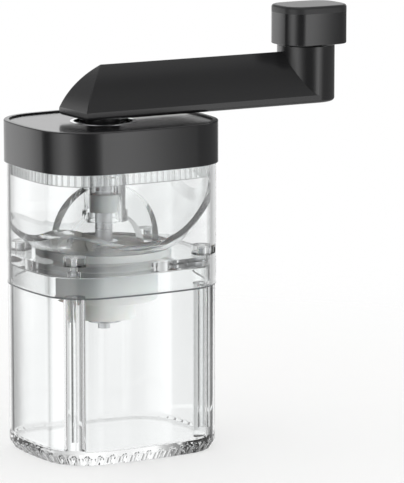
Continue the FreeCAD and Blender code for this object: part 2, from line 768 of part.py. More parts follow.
# Washer under the shaft shoulder and the spring that presses the cone burr down.
spring_washer = new_body("spring_washer", on_mill_axis=True)
sketch = new_sketch(spring_washer, "washer_plan", "XY_Plane", washer_bottom)
circle(sketch, D["washer_radius"])
square(sketch, D["square_side"] + D["square_gap"] * 2)
pad(spring_washer, "washer_disc", sketch, D["washer_thickness"])
burr_spring = new_body("burr_spring", on_mill_axis=True)
sketch = new_sketch(burr_spring, "wire_section", "XZ_Plane")
circle(sketch, D["wire_radius"], D["spring_radius"], cone_top + D["wire_radius"])
coil = burr_spring.newObject("PartDesign::AdditiveHelix", "spring_coil")
coil.Profile = sketch
coil.ReferenceAxis = (sketch, ["V_Axis"])
coil.Mode = "height-turns-angle"
coil_height = washer_bottom - cone_top - D["wire_radius"] * 2
coil.Height = coil_height.value
coil.setExpression("Height", coil_height.text)
coil.Turns = D["spring_turns"].value
coil.setExpression("Turns", D["spring_turns"].text)
doc.recompute()

# Smooth adjusting dial on the shaft thread, locked by a thumb nut.
dial_bore = D["thread_radius"] + D["running_gap"]
adjusting_dial = turned_body("adjusting_dial", [
    (dial_bore, dial_bottom),
    (D["dial_radius"], dial_bottom),
    (D["dial_radius"], dial_top),
    (D["dial_boss_radius"], dial_top),
    (D["dial_boss_radius"], insert_bottom),
    (dial_bore, insert_bottom)])
thumb_nut = turned_body("thumb_nut", [
    (dial_bore, nut_bottom),
    (D["nut_radius"], nut_bottom),
    (D["nut_radius"], dial_bottom),
    (dial_bore, dial_bottom)])

# Black cover: raised rim, sunk deck and an open underside.
cover = new_body("cover")
sketch = new_sketch(cover, "cover_plan", "XY_Plane", hopper_top)
plan(sketch, -D["cover_overhang"])
block = pad(cover, "cover_block", sketch, D["cover_height"])
edges = level_edges(block, cover_top)
round_edges(cover, "cover_top_edge", block, edges, D["cover_edge"])
sketch = new_sketch(cover, "cover_deck_plan", "XY_Plane", deck_top)
plan(sketch, D["cover_rim"])
pocket(cover, "cover_deck", sketch, D["cover_recess"] + OVERCUT)
sketch = new_sketch(cover, "cover_hollow_plan", "XY_Plane", hopper_top)
plan(sketch, hopper_inner)
pocket(cover, "cover_hollow", sketch, deck_bottom - hopper_top)
sketch = new_sketch(cover, "cover_hole_plan", "XY_Plane", deck_bottom)
circle(sketch, D["eyelet_radius"] - D["eyelet_neck"], -D["mill_offset"], ZERO)
pocket(cover, "cover_hole", sketch, D["cover_plate"] + OVERCUT)

# Polished eyelet round the shaft hole.
eyelet_inner = D["eyelet_radius"] - D["eyelet_width"]
eyelet_neck = D["eyelet_radius"] - D["eyelet_neck"] - D["press_gap"]
cover_eyelet = turned_body("cover_eyelet", [
    (eyelet_inner, deck_bottom),
    (eyelet_neck, deck_bottom),
    (eyelet_neck, deck_top),
    (D["eyelet_radius"], deck_top),
    (D["eyelet_radius"], deck_top + D["eyelet_lip"]),
    (eyelet_inner, deck_top + D["eyelet_lip"])])

# Translucent gasket under the cover that seals inside the hopper.
cover_gasket = new_body("cover_gasket")
sketch = new_sketch(cover_gasket, "gasket_plan", "XY_Plane", hopper_top - D["gasket_drop"])
plan(sketch, hopper_inner + D["slip_gap"])
plan(sketch, hopper_inner + D["slip_gap"] + D["gasket_wall"])
pad(cover_gasket, "gasket_skirt", sketch, D["gasket_drop"])
sketch = new_sketch(cover_gasket, "gasket_seat_plan", "XY_Plane", hopper_top)
plan(sketch, hopper_inner + D["bond_gap"])
plan(sketch, hopper_inner + D["slip_gap"] + D["gasket_wall"])
pad(cover_gasket, "gasket_seat", sketch, D["gasket_seat"])

# Black crank arm: a long roof with a sloping nose, a round post and a hub.
crank_arm = new_body("crank_arm", on_mill_axis=True)
half_arm = D["arm_width"] / 2
sketch = new_sketch(crank_arm, "arm_section", "YZ_Plane", -D["nose_length"])
polygon(sketch, [
    (-half_arm, arm_bottom), (half_arm, arm_bottom), (half_arm, lip_level),
    (ZERO, ridge_level), (-half_arm, lip_level)], {2: D["roof_radius"], 3: D["roof_radius"]})
pad(crank_arm, "arm_roof", sketch, D["nose_length"] + D["crank_length"])
sketch = new_sketch(crank_arm, "nose_profile", "XZ_Plane")
polygon(sketch, [
    (-D["ridge_start"], ridge_level), (-D["nose_length"], lip_level),
    (-D["nose_length"] - OVERCUT, lip_level), (-D["nose_length"] - OVERCUT, ridge_level + OVERCUT),
    (-D["ridge_start"], ridge_level + OVERCUT)], {0: D["nose_radius"]})
nose = crank_arm.newObject("PartDesign::Pocket", "arm_nose")
nose.Profile = sketch
nose.Type = "ThroughAll"
nose.Midplane = True
doc.recompute()


def creased(edge):
    box = edge.BoundBox
    return box.ZMin > lip_level.value - 1e-3 and box.XMin < D["crank_length"].value - D["mill_offset"].value - 1


round_edges(crank_arm, "arm_creases", nose, edges_where(nose, creased), D["arm_edge"])
sketch = new_sketch(crank_arm, "post_plan", "XY_Plane", arm_bottom)
circle(sketch, half_arm, D["crank_length"], ZERO)
post = pad(crank_arm, "arm_post", sketch, D["post_height"])
round_edges(crank_arm, "arm_base", post, level_edges(post, arm_bottom), D["arm_base_edge"])
sketch = new_sketch(crank_arm, "hub_plan", "XY_Plane", hub_bottom)
circle(sketch, D["hub_radius"])
pad(crank_arm, "arm_hub", sketch, arm_bottom - hub_bottom + OVERCUT)
sketch = new_sketch(crank_arm, "hub_bore_plan", "XY_Plane", hub_bottom)
circle(sketch, D["socket_radius"] + D["press_gap"])
pocket(crank_arm, "arm_hub_bore", sketch, D["socket_length"])
sketch = new_sketch(crank_arm, "post_bore_plan", "XY_Plane", post_top - D["spindle_depth"])
circle(sketch, D["spindle_radius"] + D["press_gap"], D["crank_length"], ZERO)
pocket(crank_arm, "arm_post_bore", sketch, D["spindle_depth"] + OVERCUT)

# Steel socket in the hub that slips over the shaft square.
drive_socket = new_body("drive_socket", on_mill_axis=True)
sketch = new_sketch(drive_socket, "socket_plan", "XY_Plane", hub_bottom)
circle(sketch, D["socket_radius"])
square(sketch, D["square_side"] + D["square_gap"] * 2)
pad(drive_socket, "socket_body", sketch, D["socket_length"])

# Knob with its spindle, washer and cap.
head_seat = knob_face - D["spindle_head_height"] - D["spindle_head_gap"] * 2


def at_knob(label):
    body = new_body(label)
    body.setExpression("Placement.Base.x", (D["crank_length"] - D["mill_offset"]).text)
    return body


knob_spindle = at_knob("knob_spindle")
sketch = new_sketch(knob_spindle, "spindle_profile", "XZ_Plane")
head_base = head_seat + D["spindle_head_gap"]
polygon(sketch, [
    (ZERO, post_top - D["spindle_depth"]),
    (D["spindle_radius"], post_top - D["spindle_depth"]),
    (D["spindle_radius"], head_base),
    (D["spindle_head_radius"], head_base),
    (D["spindle_head_radius"], head_base + D["spindle_head_height"]),
    (ZERO, head_base + D["spindle_head_height"])])
turn(knob_spindle, "spindle_turn", sketch)

knob_washer = at_knob("knob_washer")
sketch = new_sketch(knob_washer, "knob_washer_plan", "XY_Plane", post_top)
circle(sketch, D["knob_washer_radius"])
circle(sketch, D["spindle_radius"] + D["running_gap"])
pad(knob_washer, "knob_washer_disc", sketch, D["knob_gap"] / 2)



def knob_slab(body, name, low, high):
    section = new_sketch(body, name + "_plan", "XY_Plane", low)
    plan(section, ZERO, D["knob_scale"], D["knob_offset"], D["knob_trim"])
    return pad(body, name, section, high - low)


knob = at_knob("knob")
block = knob_slab(knob, "knob_block", knob_bottom, knob_face)
round_edges(knob, "knob_bottom_edge", block, level_edges(block, knob_bottom), D["knob_base_edge"])
sketch = new_sketch(knob, "knob_bore_plan", "XY_Plane", knob_bottom)
circle(sketch, D["spindle_radius"] + D["running_gap"])
pocket(knob, "knob_bore", sketch, D["knob_height"])
sketch = new_sketch(knob, "knob_head_plan", "XY_Plane", head_seat)
circle(sketch, D["spindle_head_radius"] + D["spindle_head_gap"])
pocket(knob, "knob_head_bore", sketch, D["knob_height"])

knob_cap = at_knob("knob_cap")
block = knob_slab(knob_cap, "knob_cap_block", knob_face, knob_top)
round_edges(knob_cap, "knob_cap_edge", block, level_edges(block, knob_top), D["knob_edge"])

doc.recompute()
nodes = [
    "container", "hopper_shell", "bean_funnel", "mill_plate", "plate_screws", "burr_carrier", "ring_burr",
    "bearing_bridge", "lower_bush", "upper_bush", "drive_shaft", "shaft_clip", "cone_burr", "burr_insert",
    "spring_washer", "burr_spring", "adjusting_dial", "thumb_nut", "cover", "cover_eyelet", "cover_gasket",
    "crank_arm", "drive_socket", "knob_spindle", "knob_washer", "knob", "knob_cap",
]
for item in doc.Objects:
    if "Invalid" in item.State or "Error" in item.State:
        raise RuntimeError("object in error: " + item.Name)
os.makedirs("parts", exist_ok=True)
for label in nodes:
    item = doc.getObject(label)
    if item.Shape.isNull() or not item.Shape.isValid():
        raise RuntimeError("bad shape: " + label)
    print(label, len(item.Shape.Solids), round(item.Shape.Volume, 1))
    item.Shape.exportStep("parts/%s.step" % label)
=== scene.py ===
import bpy
import bmesh
import json
import math
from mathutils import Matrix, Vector

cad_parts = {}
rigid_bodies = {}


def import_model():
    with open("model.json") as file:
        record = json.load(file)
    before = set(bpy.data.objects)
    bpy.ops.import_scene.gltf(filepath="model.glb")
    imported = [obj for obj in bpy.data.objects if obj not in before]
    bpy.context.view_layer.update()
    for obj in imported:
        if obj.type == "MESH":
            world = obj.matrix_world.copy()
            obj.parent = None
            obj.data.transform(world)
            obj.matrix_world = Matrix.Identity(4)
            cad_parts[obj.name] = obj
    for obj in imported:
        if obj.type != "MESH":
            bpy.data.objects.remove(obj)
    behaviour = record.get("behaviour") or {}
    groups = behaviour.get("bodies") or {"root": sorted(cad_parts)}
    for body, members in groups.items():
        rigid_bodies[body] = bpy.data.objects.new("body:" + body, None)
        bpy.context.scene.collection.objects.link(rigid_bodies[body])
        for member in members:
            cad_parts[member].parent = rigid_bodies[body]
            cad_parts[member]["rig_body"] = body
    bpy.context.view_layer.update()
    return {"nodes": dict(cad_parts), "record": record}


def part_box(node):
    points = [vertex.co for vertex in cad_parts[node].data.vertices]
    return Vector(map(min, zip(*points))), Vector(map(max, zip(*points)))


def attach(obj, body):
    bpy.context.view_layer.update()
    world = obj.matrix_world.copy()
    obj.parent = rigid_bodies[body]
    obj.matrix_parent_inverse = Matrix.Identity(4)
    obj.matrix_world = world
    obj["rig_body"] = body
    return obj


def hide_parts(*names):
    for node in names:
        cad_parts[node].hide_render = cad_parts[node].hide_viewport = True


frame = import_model()
nodes = frame["nodes"]
slotOfNode = {part["node"]: part["material_slot"] for part in frame["record"]["subparts"]}
mm = 0.001
scene = bpy.context.scene
scene.view_settings.view_transform = "Standard"
scene.cycles.max_bounces = 40  # light crosses up to a dozen clear walls
scene.cycles.transmission_bounces = 36
scene.cycles.transparent_max_bounces = 16
scene.cycles.glossy_bounces = 8
print("frame loaded:", len(nodes), "nodes")


# small helpers for colours, nodes and meshes

def hexLinear(code):
    channels = [int(code[i:i + 2], 16) / 255 for i in (1, 3, 5)]
    return [c / 12.92 if c <= 0.04045 else ((c + 0.055) / 1.055) ** 2.4 for c in channels] + [1.0]


def addNode(tree, kind, settings=None, links=None):
    node = tree.nodes.new(kind)
    for name, value in (settings or {}).items():
        if isinstance(name, int) or name in node.inputs:
            node.inputs[name].default_value = value
        else:
            setattr(node, name, value)
    for name, source in (links or {}).items():
        tree.links.new(source, node.inputs[name])
    return node


def newMaterial(name):
    material = bpy.data.materials.new(name)
    material.use_nodes = True
    material.node_tree.nodes.clear()
    tree = material.node_tree
    output = addNode(tree, "ShaderNodeOutputMaterial")
    place = addNode(tree, "ShaderNodeTexCoord")
    return material, tree, output, place.outputs["Object"]


def rampStops(node, stops):
    ramp = node.color_ramp
    while len(ramp.elements) < len(stops):
        ramp.elements.new(0.5)
    for element, (position, level) in zip(ramp.elements, stops):
        element.position = position
        element.color = [level, level, level, 1.0]


loftCrease = 32  # degrees; a sharper turn than this keeps its edge


def smoothMesh(mesh, angle):
    mesh.shade_smooth()
    mesh.set_sharp_from_angle(angle=math.radians(angle))


def meshPiece(name, points, faces, material):
    mesh = bpy.data.meshes.new(name)
    mesh.from_pydata([Vector(p) for p in points], [], faces)
    mesh.validate()
    piece = bpy.data.objects.new(name, mesh)
    scene.collection.objects.link(piece)
    mesh.materials.append(material)
    smoothMesh(mesh, loftCrease)
    return piece


def applyModifiers(piece):
    seen = piece.evaluated_get(bpy.context.evaluated_depsgraph_get())
    plain = bpy.data.meshes.new_from_object(seen)
    piece.modifiers.clear()
    piece.data = plain


def joinSolids(piece, tools, operation):
    for tool in tools:
        cut = piece.modifiers.new("join", "BOOLEAN")
        cut.operation = operation
        cut.solver = "EXACT"
        cut.object = tool
    applyModifiers(piece)
    for tool in tools:
        bpy.data.objects.remove(tool)


def seat(piece, body, *stood):
    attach(piece, body)
    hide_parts(*stood)
    return piece


# finishes

def clearStyrene():
    # Injection-moulded clear styrene: polished, colourless, faint flow waves that bend the view.
    material, tree, output, place = newMaterial("clearStyreneMoulded")
    flow = addNode(tree, "ShaderNodeTexNoise", {"Scale": 1 / (14 * mm), "Detail": 1.0},
                   {"Vector": place})
    haze = addNode(tree, "ShaderNodeMapRange", {"To Min": 0.0, "To Max": 0.03},
                   {"Value": flow.outputs["Fac"]})
    wave = addNode(tree, "ShaderNodeBump", {"Strength": 0.05, "Distance": 0.4 * mm},
                   {"Height": flow.outputs["Fac"]})
    shader = addNode(tree, "ShaderNodeBsdfPrincipled", {
        "Base Color": hexLinear("#fbfcfc"), "Transmission Weight": 1.0, "IOR": 1.49,
    }, {"Roughness": haze.outputs["Result"], "Normal": wave.outputs["Normal"]})
    tree.links.new(shader.outputs["BSDF"], output.inputs["Surface"])
    return material


def hazedStyrene():
    # Clear styrene from a duller mould: faintly milky, with a low IOR so that its edges stay soft.
    material, tree, output, place = newMaterial("clearStyreneHazed")
    cloud = addNode(tree, "ShaderNodeTexNoise", {"Scale": 1 / (8 * mm), "Detail": 2.0},
                    {"Vector": place})
    haze = addNode(tree, "ShaderNodeMapRange", {"To Min": 0.02, "To Max": 0.06},
                   {"Value": cloud.outputs["Fac"]})
    shader = addNode(tree, "ShaderNodeBsdfPrincipled", {
        "Base Color": hexLinear("#fafbfb"), "Transmission Weight": 0.97, "IOR": 1.24,
    }, {"Roughness": haze.outputs["Result"]})
    tree.links.new(shader.outputs["BSDF"], output.inputs["Surface"])
    return material


def seamShadeStyrene():
    # Painted shade line along the parting edge of clear styrene: a grey, finely speckled strip that
    # stands in for the shade seen at the seam.
    material, tree, output, place = newMaterial("clearStyreneSeamShade")
    speckle = addNode(tree, "ShaderNodeTexNoise", {"Scale": 1 / (0.6 * mm), "Detail": 2.0},
                   {"Vector": place})
    tone = addNode(tree, "ShaderNodeMix", {
        "data_type": "RGBA", 6: hexLinear("#5c5f61"), 7: hexLinear("#7c7f81"),
    }, {"Factor": speckle.outputs["Fac"]})
    shader = addNode(tree, "ShaderNodeBsdfPrincipled", {"Roughness": 0.4, "IOR": 1.49},
                     {"Base Color": tone.outputs[2]})
    tree.links.new(shader.outputs["BSDF"], output.inputs["Surface"])
    return material


def blackAbs():
    # Satin black ABS from a spark-eroded mould: soft wide reflections, a very fine grain.
    material, tree, output, place = newMaterial("blackAbsSatin")
    grain = addNode(tree, "ShaderNodeTexNoise", {"Scale": 1 / (0.5 * mm), "Detail": 3.0},
                    {"Vector": place})
    cloud = addNode(tree, "ShaderNodeTexNoise", {"Scale": 1 / (22 * mm), "Detail": 2.0},
                    {"Vector": place})
    tone = addNode(tree, "ShaderNodeMix", {
        "data_type": "RGBA", 6: hexLinear("#1c1c1d"), 7: hexLinear("#202021"),
    }, {"Factor": cloud.outputs["Fac"]})
    satin = addNode(tree, "ShaderNodeMapRange", {"To Min": 0.19, "To Max": 0.24},
                    {"Value": cloud.outputs["Fac"]})
    pits = addNode(tree, "ShaderNodeBump", {"Strength": 0.06, "Distance": 0.05 * mm},
                   {"Height": grain.outputs["Fac"]})
    shader = addNode(tree, "ShaderNodeBsdfPrincipled", {"IOR": 1.53}, {
        "Base Color": tone.outputs[2], "Roughness": satin.outputs["Result"],
        "Normal": pits.outputs["Normal"]})
    tree.links.new(shader.outputs["BSDF"], output.inputs["Surface"])
    return material


def erodedAbs():
    # Black ABS with a coarser spark-eroded skin: dull from above, an even sheen at a low angle.
    material, tree, output, place = newMaterial("blackAbsEroded")
    grain = addNode(tree, "ShaderNodeTexNoise", {"Scale": 1 / (0.4 * mm), "Detail": 3.0},
                    {"Vector": place})
    tone = addNode(tree, "ShaderNodeMix", {
        "data_type": "RGBA", 6: hexLinear("#1f1f20"), 7: hexLinear("#262627"),
    }, {"Factor": grain.outputs["Fac"]})
    dull = addNode(tree, "ShaderNodeMapRange", {"To Min": 0.4, "To Max": 0.5},
                   {"Value": grain.outputs["Fac"]})
    pits = addNode(tree, "ShaderNodeBump", {"Strength": 0.1, "Distance": 0.05 * mm},
                   {"Height": grain.outputs["Fac"]})
    shader = addNode(tree, "ShaderNodeBsdfPrincipled", {
        "IOR": 1.53, "Sheen Weight": 0.35, "Sheen Roughness": 0.25,
    }, {"Base Color": tone.outputs[2], "Roughness": dull.outputs["Result"],
        "Normal": pits.outputs["Normal"]})
    tree.links.new(shader.outputs["BSDF"], output.inputs["Surface"])
    return material


def polishedAbs():
    # Black ABS from a polished mould: a dark mirror that picks up whatever stands over it.
    material, tree, output, place = newMaterial("blackAbsPolished")
    cloud = addNode(tree, "ShaderNodeTexNoise", {"Scale": 1 / (9 * mm), "Detail": 2.0},
                    {"Vector": place})
    tone = addNode(tree, "ShaderNodeMix", {
        "data_type": "RGBA", 6: hexLinear("#161617"), 7: hexLinear("#1a1a1b"),
    }, {"Factor": cloud.outputs["Fac"]})
    gloss = addNode(tree, "ShaderNodeMapRange", {"To Min": 0.12, "To Max": 0.17},
                    {"Value": cloud.outputs["Fac"]})
    shader = addNode(tree, "ShaderNodeBsdfPrincipled", {"IOR": 1.53}, {
        "Base Color": tone.outputs[2], "Roughness": gloss.outputs["Result"]})
    tree.links.new(shader.outputs["BSDF"], output.inputs["Surface"])
    return material


def greyNylon():
    # Natural grey nylon: matt, slightly waxy, a little mottled.
    material, tree, output, place = newMaterial("greyNylonMatt")
    mottle = addNode(tree, "ShaderNodeTexNoise", {"Scale": 1 / (6 * mm), "Detail": 4.0},
                     {"Vector": place})
    tone = addNode(tree, "ShaderNodeMix", {
        "data_type": "RGBA", 6: hexLinear("#d4d4d2"), 7: hexLinear("#dededb"),
    }, {"Factor": mottle.outputs["Fac"]})
    rub = addNode(tree, "ShaderNodeMapRange", {"To Min": 0.42, "To Max": 0.58},
                  {"Value": mottle.outputs["Fac"]})
    shader = addNode(tree, "ShaderNodeBsdfPrincipled", {"IOR": 1.53, "Subsurface Weight": 0.1}, {
        "Base Color": tone.outputs[2], "Roughness": rub.outputs["Result"]})
    tree.links.new(shader.outputs["BSDF"], output.inputs["Surface"])
    return material


def firedAlumina():
    # Unglazed alumina: warm white, dry, with a fine pressed-powder grain.
    material, tree, output, place = newMaterial("firedAluminaUnglazed")
    speckle = addNode(tree, "ShaderNodeTexNoise", {"Scale": 1 / (0.8 * mm), "Detail": 4.0},
                   {"Vector": place})
    tone = addNode(tree, "ShaderNodeMix", {
        "data_type": "RGBA", 6: hexLinear("#dedbd4"), 7: hexLinear("#ece9e2"),
    }, {"Factor": speckle.outputs["Fac"]})
    bump = addNode(tree, "ShaderNodeBump", {"Strength": 0.15, "Distance": 0.1 * mm},
                   {"Height": speckle.outputs["Fac"]})
    shader = addNode(tree, "ShaderNodeBsdfPrincipled", {"IOR": 1.7, "Roughness": 0.6}, {
        "Base Color": tone.outputs[2], "Normal": bump.outputs["Normal"]})
    tree.links.new(shader.outputs["BSDF"], output.inputs["Surface"])
    return material


def turnedSteel():
    # Lathe-turned steel: fine rings round the axis that spread the highlight.
    material, tree, output, place = newMaterial("turnedSteelFine")
    rings = addNode(tree, "ShaderNodeTexWave", {
        "bands_direction": "Z", "Scale": 1 / (1.2 * mm) / 20, "Distortion": 1.5, "Detail": 2.0,
    }, {"Vector": place})
    tone = addNode(tree, "ShaderNodeMix", {
        "data_type": "RGBA", 6: hexLinear("#bdbec0"), 7: hexLinear("#d3d4d6"),
    }, {"Factor": rings.outputs["Fac"]})
    rub = addNode(tree, "ShaderNodeMapRange", {"To Min": 0.24, "To Max": 0.36},
                  {"Value": rings.outputs["Fac"]})
    shader = addNode(tree, "ShaderNodeBsdfPrincipled", {"Metallic": 1.0}, {
        "Base Color": tone.outputs[2], "Roughness": rub.outputs["Result"]})
    tree.links.new(shader.outputs["BSDF"], output.inputs["Surface"])
    return material


def polishedSteel():
    # Polished stainless trim: bright, with hairline wear that dulls it in patches.
    material, tree, output, place = newMaterial("polishedSteelTrim")
    wear = addNode(tree, "ShaderNodeTexNoise", {"Scale": 1 / (3 * mm), "Detail": 5.0},
                   {"Vector": place})
    rub = addNode(tree, "ShaderNodeMapRange", {"To Min": 0.03, "To Max": 0.08},
                  {"Value": wear.outputs["Fac"]})
    tone = addNode(tree, "ShaderNodeMix", {
        "data_type": "RGBA", 6: hexLinear("#d2d3d5"), 7: hexLinear("#e4e5e6"),
    }, {"Factor": wear.outputs["Fac"]})
    shader = addNode(tree, "ShaderNodeBsdfPrincipled", {"Metallic": 1.0}, {
        "Base Color": tone.outputs[2], "Roughness": rub.outputs["Result"]})
    tree.links.new(shader.outputs["BSDF"], output.inputs["Surface"])
    return material


def clearSilicone():
    # Translucent silicone: soft, faintly milky, with a dull skin.
    material, tree, output, place = newMaterial("clearSiliconeMoulded")
    milk = addNode(tree, "ShaderNodeTexNoise", {"Scale": 1 / (5 * mm), "Detail": 2.0},
                   {"Vector": place})
    rub = addNode(tree, "ShaderNodeMapRange", {"To Min": 0.02, "To Max": 0.06},
                  {"Value": milk.outputs["Fac"]})
    shader = addNode(tree, "ShaderNodeBsdfPrincipled", {
        "Base Color": hexLinear("#fbfcfc"), "Transmission Weight": 0.95, "IOR": 1.36,
    }, {"Roughness": rub.outputs["Result"]})
    tree.links.new(shader.outputs["BSDF"], output.inputs["Surface"])
    return material


finishOfSlot = {
    "clear_plastic": clearStyrene(), "silicone": clearSilicone(), "black_plastic": blackAbs(),
    "grey_plastic": greyNylon(), "ceramic": firedAlumina(), "steel": turnedSteel(),
    "polished_steel": polishedSteel(),
}
# painted shade: a grey material for the seam edges, standing in for the shade along the seam
seamShadeGrey = seamShadeStyrene()
hazedClear = hazedStyrene()
deckBlack = polishedAbs()
finishOfNode = {"bean_funnel": hazedClear, "bearing_bridge": hazedClear, "knob_cap": erodedAbs()}
print("finishes made")


# body outline, shared by container, hopper and gasket

bodyOutline = {"longRadius": 205 * mm, "shortRadius": 121 * mm, "cornerRadius": 19.7 * mm}
postInset = {"fromEnd": 10.5 * mm, "fromSide": 10.4 * mm}
seamShadeLook = {"tilt": 0.15, "faceArea": 2.0, "slack": 0.02}
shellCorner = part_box("hopper_shell")[1]
bodyHalfLength, bodyHalfWidth = shellCorner.x, shellCorner.y


def outlineArcs(halfLength, halfWidth, longRadius, shortRadius, cornerRadius):
    sideX = halfLength - shortRadius
    sideY = halfWidth - longRadius
    shortReach = shortRadius - cornerRadius
    longReach = longRadius - cornerRadius
    gap = math.hypot(sideX, sideY)
    along = (shortReach ** 2 - longReach ** 2 + gap ** 2) / (2 * gap)
    rise = math.sqrt(shortReach ** 2 - along ** 2)
    ux, uy = -sideX / gap, sideY / gap
    cornerX = sideX + along * ux - rise * uy
    cornerY = along * uy + rise * ux
    endAngle = math.atan2(cornerY, cornerX - sideX)
    sideAngle = math.atan2(cornerY - sideY, cornerX)
    turn = math.pi
    return [
        (sideX, 0, shortRadius, -endAngle, endAngle),
        (cornerX, cornerY, cornerRadius, endAngle, sideAngle),
        (0, sideY, longRadius, sideAngle, turn - sideAngle),
        (-cornerX, cornerY, cornerRadius, turn - sideAngle, turn - endAngle),
        (-sideX, 0, shortRadius, turn - endAngle, turn + endAngle),
        (-cornerX, -cornerY, cornerRadius, turn + endAngle, turn + sideAngle),
        (0, -sideY, longRadius, turn + sideAngle, 2 * turn - sideAngle),
        (cornerX, -cornerY, cornerRadius, 2 * turn - sideAngle, 2 * turn - endAngle),
    ]


def outlineRing(arcs, count):
    lengths = [radius * (end - start) for x, y, radius, start, end in arcs]
    ring = []
    for step in range(count):
        reach = sum(lengths) * step / count
        index = 0
        while reach > lengths[index]:
            reach -= lengths[index]
            index += 1
        x, y, radius, start, end = arcs[index]
        turn = start + reach / radius
        normal = Vector((math.cos(turn), math.sin(turn), 0))
        ring.append((Vector((x, y, 0)) + normal * radius, normal))
    return ring


def roundedPath(corners, steps):
    # each corner is an inset from the outline, a height and a rounding, all in mm
    path = []
    for index, (inset, height, radius) in enumerate(corners):
        here = Vector((inset, height))
        if radius == 0:
            path.append((inset, height))
            continue
        back = (Vector(corners[index - 1][:2]) - here).normalized()
        ahead = (Vector(corners[(index + 1) % len(corners)][:2]) - here).normalized()
        half = back.angle(ahead) / 2
        centre = here + (back + ahead).normalized() * (radius / math.sin(half))
        first = here + back * (radius / math.tan(half)) - centre
        last = here + ahead * (radius / math.tan(half)) - centre
        sweep = first.angle_signed(last)
        for step in range(steps + 1):
            turn = -sweep * step / steps
            spoke = Vector((first.x * math.cos(turn) - first.y * math.sin(turn),
                            first.x * math.sin(turn) + first.y * math.cos(turn)))
            path.append((centre.x + spoke.x, centre.y + spoke.y))
    return path


def loftFaces(ringCount, pathCount, closed):
    faces = []
    for ringIndex in range(ringCount):
        nextRing = (ringIndex + 1) % ringCount
        for pathIndex in range(pathCount if closed else pathCount - 1):
            nextPath = (pathIndex + 1) % pathCount
            faces.append((ringIndex * pathCount + pathIndex, nextRing * pathCount + pathIndex,
                          nextRing * pathCount + nextPath, ringIndex * pathCount + nextPath))
    if not closed:
        faces.append([i * pathCount for i in reversed(range(ringCount))])
        faces.append([i * pathCount + pathCount - 1 for i in range(ringCount)])
    return faces


def loftPoints(path, ringSteps):
    return [spot - normal * inset * mm + Vector((0, 0, height * mm))
            for spot, normal in outlineRing(bodyArcs, ringSteps) for inset, height in path]


def postTools(posts, radius, low, high, sides=48):
    # upright cylinders at the posts, to be joined to a piece or cut from it
    tools = []
    for x, y in posts:
        points = []
        for z in (low * mm, high * mm):
            for i in range(sides):
                turn = 2 * math.pi * i / sides
                points.append((x + radius * mm * math.cos(turn), y + radius * mm * math.sin(turn), z))
        faces = [(i, (i + 1) % sides, sides + (i + 1) % sides, sides + i) for i in range(sides)]
        faces += [list(reversed(range(sides))), list(range(sides, 2 * sides))]
        mesh = bpy.data.meshes.new("tool")
        mesh.from_pydata(points, [], faces)
        tool = bpy.data.objects.new("tool", mesh)
        scene.collection.objects.link(tool)
        tools.append(tool)
    return tools


def paintSeamShade(piece, low, high):
    # faces of the outer edge at the seam take the painted seam shade, a grey line standing in for
    # shade
    piece.data.materials.append(seamShadeGrey)
    low, high = (low + seamShadeLook["slack"]) * mm, (high - seamShadeLook["slack"]) * mm
    largest = seamShadeLook["faceArea"] * mm * mm
    for face in piece.data.polygons:
        tilted = abs(face.normal.z) > seamShadeLook["tilt"]
        if low <= face.center.z <= high and tilted and face.area < largest:
            face.material_index = 1


bodyArcs = outlineArcs(bodyHalfLength, bodyHalfWidth, **bodyOutline)
postX, postY = bodyHalfLength - postInset["fromEnd"], bodyHalfWidth - postInset["fromSide"]
cornerPosts = [(sx * postX, sy * postY) for sx in (1, -1) for sy in (1, -1)]
frontPosts = [post for post in cornerPosts if post[1] < 0]


# clear container with lens cells round its foot

containerSizes = {
    "inset": 0.4, "wall": 3.5, "floor": 5.0, "neckInset": 2.5, "seamLevel": 67.0, "neckTop": 75.0,
    "bevelWidth": 2.0, "bevelHeight": 3.2, "columnRadius": 4.0, "boreRadius": 1.2, "boreLow": 9.0,
    "boreSides": 24, "overlap": 1.0,
    # roundings
    "footEdge": 0.3, "bevelEdge": 0.5, "seamEdge": 0.3, "neckRoot": 0.2, "neckEdge": 0.4,
    "floorFillet": 1.2, "edgeSteps": 5,
    # rows beside the roundings, which keep the flat faces flat
    "footRow": 1.2, "bevelRow": 1.0, "wallRow": 1.6, "seamRow": 0.9, "neckRow": 1.0,
    "floorRow": 2.4, "floorFlat": 3.0,
    # lens cells
    "cells": 46, "cellSteps": 12, "cellDepth": 0.9, "cellReach": 0.9, "cellStart": 0.15,
    "cellPower": 0.7,
}


